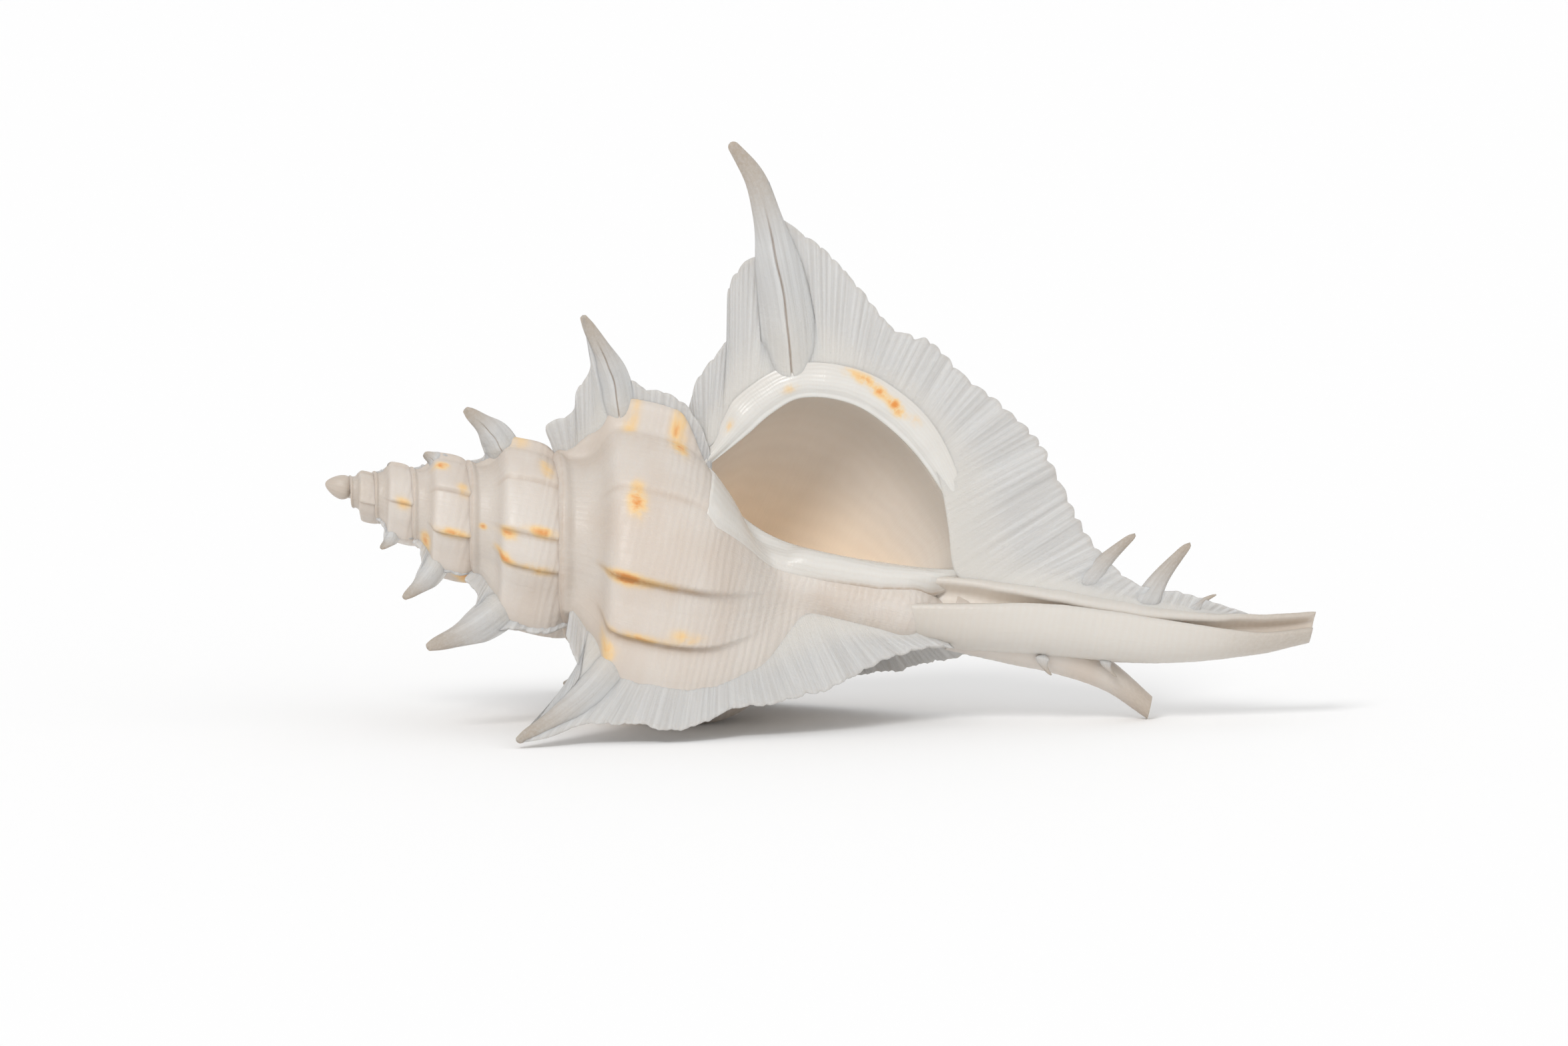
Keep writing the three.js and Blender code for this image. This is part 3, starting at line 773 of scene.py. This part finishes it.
def make_canal(stations, wall, stain_and_shade_strength):
    """A gutter, round outside: a slit along its length opens into a shallow rounded trough.
    wall is how thick the edges of the slit are at most."""
    rows, arc = 190, 40
    numbered = [(i, *station) for i, station in enumerate(stations)]
    at = np.linspace(0, len(stations) - 1, rows)
    along, out, back, radius, slit, opening = np.moveaxis(curve(numbered, at), -1, 0)
    middle = place(0.0, along * LIP, out * LIP)
    middle[:, 1] += back * LIP
    radius = radius * LIP
    wobble = 1 + 0.012 * ripple(at * 5, 0.9) + 0.006 * ripple(at * 31, 2.4)
    start = np.radians(slit + opening)[:, None]
    end = np.radians(slit - opening)[:, None] + 2 * math.pi
    round_way = np.linspace(0, 1, arc)[None, :]
    angle = start + (end - start) * round_way
    end_taper = 1 - smooth(at, len(stations) - 1.12, len(stations) - 1.0)[:, None] * 0.5
    thick = np.minimum(wall, 0.45 * radius)[:, None] * end_taper
    lip_swell = 0.16 * thick * (hump(round_way, 0, 0.06) + hump(round_way, 1, 0.06))
    outer = (radius * wobble)[:, None] + lip_swell
    edge = outer[:, :1] - thick

    def ring(distance, ring_angle):
        turn = ring_angle / (2 * math.pi)
        return middle[:, None] + place(turn, 0.0, distance)

    edge_turn = 0.32 * thick / outer[:, :1]
    cap_angles = np.concatenate([angle[:, -1:] + edge_turn, angle[:, :1] - edge_turn], 1)
    closed_edge = ring(0.5 * (outer[:, :1] + edge), cap_angles)
    outside = ring(outer, angle)

    # The hollow is a rounded trough from one edge of the slit to the other.
    half_opening = np.radians(opening)[:, None]
    facing = np.radians(slit)[:, None]
    dip = np.sin(math.pi * round_way)
    side = -edge * np.sin(half_opening) * np.cos(math.pi * round_way) * (1 + 0.3 * dip)
    toward = edge * np.cos(half_opening) - np.minimum(2.4, 0.8 * edge) * dip**0.6
    inside = ring(toward, facing) + place((facing + 0.5 * math.pi) / (2 * math.pi), 0.0, side)
    loop = np.concatenate([outside, closed_edge[:, :1], inside, closed_edge[:, 1:]], 1)
    first = loop[:1].mean(1, keepdims=True) + 0 * loop[:1]
    half_way = 0.5 * (outside[-1:] + inside[-1:, ::-1])
    last = np.concatenate([half_way, closed_edge[-1:, :1], half_way[:, ::-1],
                           closed_edge[-1:, 1:]], 1)
    points = np.concatenate([first, loop, last])
    inside_mask = np.concatenate([np.zeros(arc), [0.6], np.ones(arc), [0.6]])[None, :]
    tip = np.concatenate([[0], smooth(at / (len(stations) - 1), 0.62, 1.0), [1]])[:, None]
    height = np.concatenate([[0], along, along[-1:]]) * LIP
    sides = np.concatenate([round_way[0] * 30, [31], 62 - round_way[0] * 30, [63]])
    coil = stacked(sides[None] * 0.6, height[:, None], 40.0)
    masks = {
        "depth": inside_mask * 0.22 * np.ones((rows + 2, 1)),
        "worn_and_shade": 0.65 * tip * (1 - 0.6 * inside_mask),
        # Darker inside the trough towards the tip.
        "stain_and_shade": stain_and_shade_strength * inside_mask * tip,
        "enamel": 0.35 * (1 - inside_mask) * smooth(height[:, None], 1.4 * LIP, 1.7 * LIP),
    }
    sheet = Sheet()
    sheet.add(points, coil, masks, wrap=True)
    return sheet


def add_thorn(sheet, foot, tip, radius):
    """A short blunt thorn, a little flattened from front to back."""
    sides = np.linspace(0, 2 * math.pi, 25)[:-1][None, :]
    t = np.linspace(0, 1, 30)[:, None]
    path = np.array(foot) + (np.array(tip) - np.array(foot)) * t
    path[:, 0] -= 0.012 * np.sin(math.pi * t[:, 0])
    middle = place(0.0, path[:, 0] * LIP, path[:, 1] * LIP)
    middle[:, 1] += path[:, 2] * LIP
    blunt = np.sqrt(np.clip(1 - (t - 0.9).clip(0) ** 2 * 100, 0, 1))
    size = radius * LIP * (1 - 0.78 * t**0.8) * blunt
    size = size * smooth(t, -0.02, 0.3) * (1 + 0.05 * np.sin(9 * t + 3 * sides))
    beside = place(0.0, 1.0, 0.0)
    points = middle[:, None] + (size * np.cos(sides))[..., None] * beside
    points[..., 1] += 0.6 * size * np.sin(sides)
    worn_and_shade = smooth(t, 0.1, 1.0) * (1 + 0 * sides)
    coil = stacked(sides * 2, t * 9 + path[:, :1] * LIP, 60.0)
    sheet.add(points, coil, {"worn_and_shade": worn_and_shade}, wrap=True)


def make_thorns():
    sheet = Sheet()
    for foot, tip, radius in THORNS:
        add_thorn(sheet, foot, tip, radius)
    return sheet


# ---- materials

def add_node(tree, kind, **settings):
    node = tree.nodes.new(kind)
    for key, value in settings.items():
        setattr(node, key, value)
    return node


def new_group(name, inputs, outputs):
    """A shader node group with named sockets: (name, kind, default)."""
    tree = bpy.data.node_groups.new(name, "ShaderNodeTree")
    for socket, kind, default in inputs:
        made = tree.interface.new_socket(socket, in_out="INPUT", socket_type=kind)
        made.default_value = default
    for socket, kind in outputs:
        tree.interface.new_socket(socket, in_out="OUTPUT", socket_type=kind)
    return tree, tree.nodes.new("NodeGroupInput"), tree.nodes.new("NodeGroupOutput")


def maths(tree, operation, a, b=None, clamp=False):
    node = add_node(tree, "ShaderNodeMath", operation=operation, use_clamp=clamp)
    for socket, value in zip(node.inputs, (a, b)):
        if value is None:
            continue
        if isinstance(value, (int, float)):
            socket.default_value = value
        else:
            tree.links.new(value, socket)
    return node.outputs[0]


def mix_colour(tree, amount, a, b):
    node = add_node(tree, "ShaderNodeMix", data_type="RGBA")
    for socket, value in ((node.inputs[0], amount), (node.inputs[6], a), (node.inputs[7], b)):
        if isinstance(value, (int, float)):
            socket.default_value = value
        elif isinstance(value, tuple):
            socket.default_value = (*value, 1)
        else:
            tree.links.new(value, socket)
    return node.outputs[2]


def noise(tree, vector, scale, detail=4.0, roughness=0.55):
    node = add_node(tree, "ShaderNodeTexNoise")
    node.inputs["Scale"].default_value = scale
    node.inputs["Detail"].default_value = detail
    node.inputs["Roughness"].default_value = roughness
    tree.links.new(vector, node.inputs["Vector"])
    return node.outputs["Fac"]


def scaled(tree, vector, factors):
    node = add_node(tree, "ShaderNodeVectorMath", operation="MULTIPLY")
    tree.links.new(vector, node.inputs[0])
    node.inputs[1].default_value = factors
    return node.outputs[0]


def ranged(tree, value, low, high, to_low=0.0, to_high=1.0):
    node = add_node(tree, "ShaderNodeMapRange", interpolation_type="SMOOTHSTEP")
    tree.links.new(value, node.inputs["Value"])
    for socket, number in zip(node.inputs[1:5], (low, high, to_low, to_high)):
        socket.default_value = number
    return node.outputs[0]


def group_growth_lines():
    """Fine lines left by growth: streaks across the coil and threads along it."""
    tree, given, result = new_group(
        "growth_lines",
        [("Coil", "NodeSocketVector", (0, 0, 0)), ("Streaks", "NodeSocketFloat", 1.0),
         ("Threads", "NodeSocketFloat", 1.0)],
        [("Tone", "NodeSocketFloat"), ("Height", "NodeSocketFloat")],
    )
    coil = given.outputs["Coil"]
    streaks = noise(tree, scaled(tree, coil, (1.5, 0.035, 0.3)), 1.0, 3.0, 0.65)
    wander = noise(tree, scaled(tree, coil, (0.1, 0.3, 0.3)), 1.0, 2.0, 0.5)
    parts = add_node(tree, "ShaderNodeSeparateXYZ")
    tree.links.new(coil, parts.inputs[0])
    phase = maths(tree, "MULTIPLY", parts.outputs["Y"], 5.6)
    phase = maths(tree, "ADD", phase, maths(tree, "MULTIPLY", wander, 9.0))
    threads = maths(tree, "MULTIPLY", maths(tree, "SINE", phase), 0.3)
    threads = maths(tree, "ADD", threads, 0.5)
    streaks = maths(tree, "MULTIPLY", streaks, given.outputs["Streaks"])
    threads = maths(tree, "MULTIPLY", threads, given.outputs["Threads"])
    both = maths(tree, "ADD", streaks, threads)
    weight = maths(tree, "ADD", given.outputs["Streaks"], given.outputs["Threads"])
    tone = maths(tree, "DIVIDE", both, maths(tree, "ADD", weight, 0.001))
    tree.links.new(ranged(tree, tone, 0.3, 0.7), result.inputs["Tone"])
    tree.links.new(both, result.inputs["Height"])
    return tree


def group_grain():
    """Chalky grain and pits in the worn lime."""
    tree, given, result = new_group(
        "lime_grain",
        [("Scale", "NodeSocketFloat", 900.0), ("Pits", "NodeSocketFloat", 0.5)],
        [("Mask", "NodeSocketFloat"), ("Height", "NodeSocketFloat")],
    )
    position = add_node(tree, "ShaderNodeTexCoord")
    spread = add_node(tree, "ShaderNodeTexNoise")
    spread.inputs["Detail"].default_value = 5.0
    spread.inputs["Roughness"].default_value = 0.7
    tree.links.new(position.outputs["Object"], spread.inputs["Vector"])
    tree.links.new(given.outputs["Scale"], spread.inputs["Scale"])
    pits = ranged(tree, spread.outputs["Fac"], 0.62, 0.74)
    pits = maths(tree, "MULTIPLY", pits, given.outputs["Pits"])
    tree.links.new(pits, result.inputs["Mask"])
    tree.links.new(maths(tree, "SUBTRACT", spread.outputs["Fac"], pits), result.inputs["Height"])
    return tree


def group_tinted_lime():
    """Lime stained by the orange marks, darkened by brown stain and painted shade in the grooves, and
    greyed by wear at the tips and by painted shade on the ramp.
    """
    tree, given, result = new_group(
        "tinted_lime",
        [("Lime", "NodeSocketColor", (0.8, 0.76, 0.7, 1)), ("Orange", "NodeSocketFloat", 0.0),
         ("Stain_And_Shade", "NodeSocketFloat", 0.0), ("Worn_And_Shade", "NodeSocketFloat", 0.0),
         ("Coil", "NodeSocketVector", (0, 0, 0))],
        [("Color", "NodeSocketColor")],
    )
    cloud = noise(tree, scaled(tree, given.outputs["Coil"], (0.5, 0.35, 1.0)), 1.0, 4.0, 0.55)
    broken = ranged(tree, cloud, 0.32, 0.62, 0.45, 1.15)
    orange = maths(tree, "MULTIPLY", given.outputs["Orange"], broken, clamp=True)
    pale = mix_colour(tree, ranged(tree, orange, 0.0, 0.5), given.outputs["Lime"], (0.78, 0.55, 0.28))
    deep = mix_colour(tree, ranged(tree, orange, 0.35, 0.95), pale, (0.72, 0.27, 0.05))
    # Brown stain in the grooves, with painted shade in the suture, in the steps before the ribs and
    # under raised edges.
    stain_and_shade_amount = maths(tree, "MULTIPLY", given.outputs["Stain_And_Shade"], ranged(tree, cloud, 0.2, 0.6, 0.5, 1.0))
    stained_and_shaded = mix_colour(tree, stain_and_shade_amount, deep, (0.3, 0.17, 0.07))
    fine = noise(tree, given.outputs["Coil"], 1.6, 5.0, 0.7)
    # Grey wear at the tips, and painted shade on the whorl's ramp.
    wear_and_shade = maths(tree, "MULTIPLY", given.outputs["Worn_And_Shade"], ranged(tree, fine, 0.25, 0.65, 0.6, 1.0))
    tree.links.new(mix_colour(tree, wear_and_shade, stained_and_shaded, (0.4, 0.335, 0.27)), result.inputs["Color"])
    return tree


def place_group(tree, group, **values):
    node = add_node(tree, "ShaderNodeGroup")
    node.node_tree = group
    for key, value in values.items():
        socket = node.inputs[key]
        if isinstance(value, bpy.types.NodeSocket):
            tree.links.new(value, socket)
        else:
            socket.default_value = value
    return node


def start_material(name):
    material = bpy.data.materials.new(name)
    material.use_nodes = True
    tree = material.node_tree
    shader = tree.nodes["Principled BSDF"]
    return material, tree, shader


def attribute(tree, name):
    node = add_node(tree, "ShaderNodeAttribute", attribute_name=name)
    return node.outputs["Vector"] if name == "coil" else node.outputs["Fac"]


def tint_lime(tree, groups, coil, lime):
    """The lime's colour with its orange marks, stain and wear, and the painted shade that these masks
    carry.
    """
    masks = {name.title(): attribute(tree, name) for name in ("orange", "stain_and_shade", "worn_and_shade")}
    return place_group(tree, groups["tint"], Lime=lime, Coil=coil, **masks).outputs["Color"]


def let_light_in(shader, weight, radius, scale):
    shader.inputs["Subsurface Weight"].default_value = weight
    shader.inputs["Subsurface Radius"].default_value = radius
    shader.inputs["Subsurface Scale"].default_value = scale


def finish_material(tree, shader, colour, roughness, height, distance, strength):
    bump = add_node(tree, "ShaderNodeBump")
    bump.inputs["Distance"].default_value = distance
    bump.inputs["Strength"].default_value = strength
    tree.links.new(height, bump.inputs["Height"])
    tree.links.new(bump.outputs["Normal"], shader.inputs["Normal"])
    tree.links.new(colour, shader.inputs["Base Color"])
    tree.links.new(roughness, shader.inputs["Roughness"])


def shell_material(groups):
    """The outside of the whorls: cream lime with tan clouds, orange marks and fine lines."""
    material, tree, shader = start_material("shell_outside")
    coil = attribute(tree, "coil")
    lines = place_group(tree, groups["lines"], Coil=coil, Streaks=0.5, Threads=attribute(tree, "cords"))
    grain = place_group(tree, groups["grain"], Scale=1100.0, Pits=0.25)
    clouds = noise(tree, scaled(tree, coil, (0.05, 0.09, 1.0)), 1.0, 3.0)
    base = mix_colour(tree, ranged(tree, clouds, 0.35, 0.7), (0.65, 0.595, 0.54), (0.6, 0.52, 0.45))
    base = mix_colour(tree, maths(tree, "MULTIPLY", lines.outputs["Tone"], 0.1), base,
                      (0.62, 0.53, 0.45))
    base = mix_colour(tree, grain.outputs["Mask"], base, (0.62, 0.55, 0.47))
    tinted = tint_lime(tree, groups, coil, base)
    roughness = ranged(tree, lines.outputs["Tone"], 0.0, 1.0, 0.36, 0.5)
    height = maths(tree, "ADD", lines.outputs["Height"],
                   maths(tree, "MULTIPLY", grain.outputs["Height"], 0.5))
    finish_material(tree, shader, tinted, roughness, height, 0.00018, 0.7)
    let_light_in(shader, 0.12, (1.0, 0.7, 0.45), 0.0012)
    return material


def wing_material(groups):
    """The wings: thin, cool, slightly see-through lime."""
    material, tree, shader = start_material("shell_wing")
    coil = attribute(tree, "coil")
    lines = place_group(tree, groups["lines"], Coil=coil, Streaks=0.8, Threads=0.0)
    grain = place_group(tree, groups["grain"], Scale=1500.0, Pits=0.35)
    base = mix_colour(tree, lines.outputs["Tone"], (0.6, 0.598, 0.59), (0.52, 0.512, 0.5))
    root = maths(tree, "MULTIPLY", attribute(tree, "enamel"), 0.8)
    base = mix_colour(tree, root, base, (0.65, 0.62, 0.57))
    base = mix_colour(tree, grain.outputs["Mask"], base, (0.6, 0.56, 0.52))
    tinted = tint_lime(tree, groups, coil, base)
    roughness = ranged(tree, lines.outputs["Tone"], 0.0, 1.0, 0.42, 0.56)
    height = maths(tree, "ADD", lines.outputs["Height"], grain.outputs["Height"])
    finish_material(tree, shader, tinted, roughness, height, 0.0002, 0.7)
    let_light_in(shader, 0.3, (1.0, 0.85, 0.7), 0.0016)
    return material


def mouth_material(groups):
    """The lip's white enamel, and the tan lining, with a painted glow that lifts the lining deep in the
    hollow.
    """
    material, tree, shader = start_material("shell_mouth")
    coil = attribute(tree, "coil")
    depth = attribute(tree, "depth")
    enamel = attribute(tree, "enamel")
    lines = place_group(tree, groups["lines"], Coil=coil, Streaks=0.6, Threads=0.5)
    grain = place_group(tree, groups["grain"], Scale=1300.0, Pits=0.15)
    white = mix_colour(tree, enamel, (0.6, 0.555, 0.5), (0.7, 0.69, 0.66))
    tan = mix_colour(tree, ranged(tree, depth, 0.0, 0.3), white, (0.78, 0.72, 0.65))
    deep = mix_colour(tree, ranged(tree, depth, 0.3, 0.9), tan, (0.93, 0.79, 0.63))
    streaks = maths(tree, "MULTIPLY", lines.outputs["Tone"], 0.08)
    lined = mix_colour(tree, streaks, deep, (0.6, 0.5, 0.4))
    tinted = tint_lime(tree, groups, coil, lined)
    roughness = ranged(tree, enamel, 0.0, 1.0, 0.42, 0.2)
    height = maths(tree, "ADD", lines.outputs["Height"],
                   maths(tree, "MULTIPLY", grain.outputs["Height"], 0.4))
    finish_material(tree, shader, tinted, roughness, height, 0.0001, 0.6)
    # Painted glow: the lining emits a warm light that grows deeper in the hollow, lifting the shade
    # there.
    deep_in = ranged(tree, depth, 0.2, 0.8)
    painted_glow = mix_colour(tree, deep_in, (0.012, 0.01, 0.008), (0.085, 0.066, 0.046))
    tree.links.new(painted_glow, shader.inputs["Emission Color"])
    shader.inputs["Emission Strength"].default_value = 1.0
    let_light_in(shader, 0.1, (1.0, 0.7, 0.5), 0.001)
    return material


# ---- studio

def make_studio():
    """A pale floor, an even sky and soft lamps."""
    scene = bpy.context.scene
    scene.view_settings.view_transform = "Standard"
    world = bpy.data.worlds.new("studio")
    world.use_nodes = True
    world.node_tree.nodes["Background"].inputs["Color"].default_value = (1, 1, 1, 1)
    world.node_tree.nodes["Background"].inputs["Strength"].default_value = 0.72
    scene.world = world

    floor_mesh = bpy.data.meshes.new("floor")
    half = 20.0
    corners = [(-half, -half, 0), (half, -half, 0), (half, half, 0), (-half, half, 0)]
    floor_mesh.from_pydata(corners, [], [(0, 1, 2, 3)])
    floor = bpy.data.objects.new("floor", floor_mesh)
    scene.collection.objects.link(floor)
    paint, _, shader = start_material("pale_floor")
    shader.inputs["Base Color"].default_value = (0.95, 0.95, 0.95, 1)
    shader.inputs["Roughness"].default_value = 0.9
    shader.inputs["Specular IOR Level"].default_value = 0.1
    floor_mesh.materials.append(paint)

    # Wide, distant lamps: direction they shine from, angle across in degrees, strength.
    lamps = [
        ("key", (-0.45, -1.1, 0.95), 20, 1.25),
        ("fill", (1.0, -0.5, 0.5), 60, 0.25),
        ("rear", (0.2, 1.0, 0.8), 60, 0.25),
    ]
    for name, direction, spread, strength in lamps:
        lamp = bpy.data.lights.new(name, "SUN")
        lamp.angle = math.radians(spread)
        lamp.energy = strength
        holder = bpy.data.objects.new(name, lamp)
        holder.location = direction
        holder.rotation_euler = Vector(direction).to_track_quat("Z", "Y").to_euler()
        scene.collection.objects.link(holder)


def make_camera():
    """A long lens, looking down a little at the side where the mouth is."""
    elevation = math.radians(6.0)
    distance = 2.4
    aim = Vector((-0.0056, 0.0, 0.0297))
    lens = bpy.data.cameras.new("camera")
    lens.sensor_width = 36.0
    lens.lens = 367.7
    lens.clip_start = 0.05
    lens.clip_end = 60.0
    camera = bpy.data.objects.new("camera", lens)
    camera.location = aim + distance * Vector((0, -math.cos(elevation), math.sin(elevation)))
    camera.rotation_euler = (aim - camera.location).to_track_quat("-Z", "Y").to_euler()
    bpy.context.scene.collection.objects.link(camera)
    bpy.context.scene.camera = camera


# ---- the shell put together

def build():
    groups = {"lines": group_growth_lines(), "grain": group_grain(), "tint": group_tinted_lime()}
    outside = shell_material(groups)
    winged = wing_material(groups)
    enamelled = mouth_material(groups)
    parts = [
        ("spire", make_spire(), outside),
        ("body_whorl", make_body(), outside),
        ("lip_wing", make_lip_wing(), winged),
        ("mouth", make_mouth(), enamelled),
        ("canal", make_canal(CANAL, wall=1.25, stain_and_shade_strength=0.25), enamelled),
        ("old_canal", make_canal(OLD_CANAL, wall=1.0, stain_and_shade_strength=0.7), outside),
        ("canal_thorns", make_thorns(), winged),
    ]
    for number, varix in enumerate(VARICES, start=2):
        parts.append((f"wing_{number}", make_older_wing(*varix), winged))
    everything = np.concatenate([sheet.all_points() for _, sheet, _ in parts])
    low, high = everything.min(0), everything.max(0)
    wanted = 0.5 * (np.array(cad_low) + np.array(cad_high)) / MILLIMETRE
    shift = np.array([wanted[0] - 0.5 * (low[0] + high[0]), wanted[1] - 0.5 * (low[1] + high[1]),
                      -low[2]])
    for name, sheet, material in parts:
        make_piece(name, sheet, shift, material)


build()
make_camera()
make_studio()
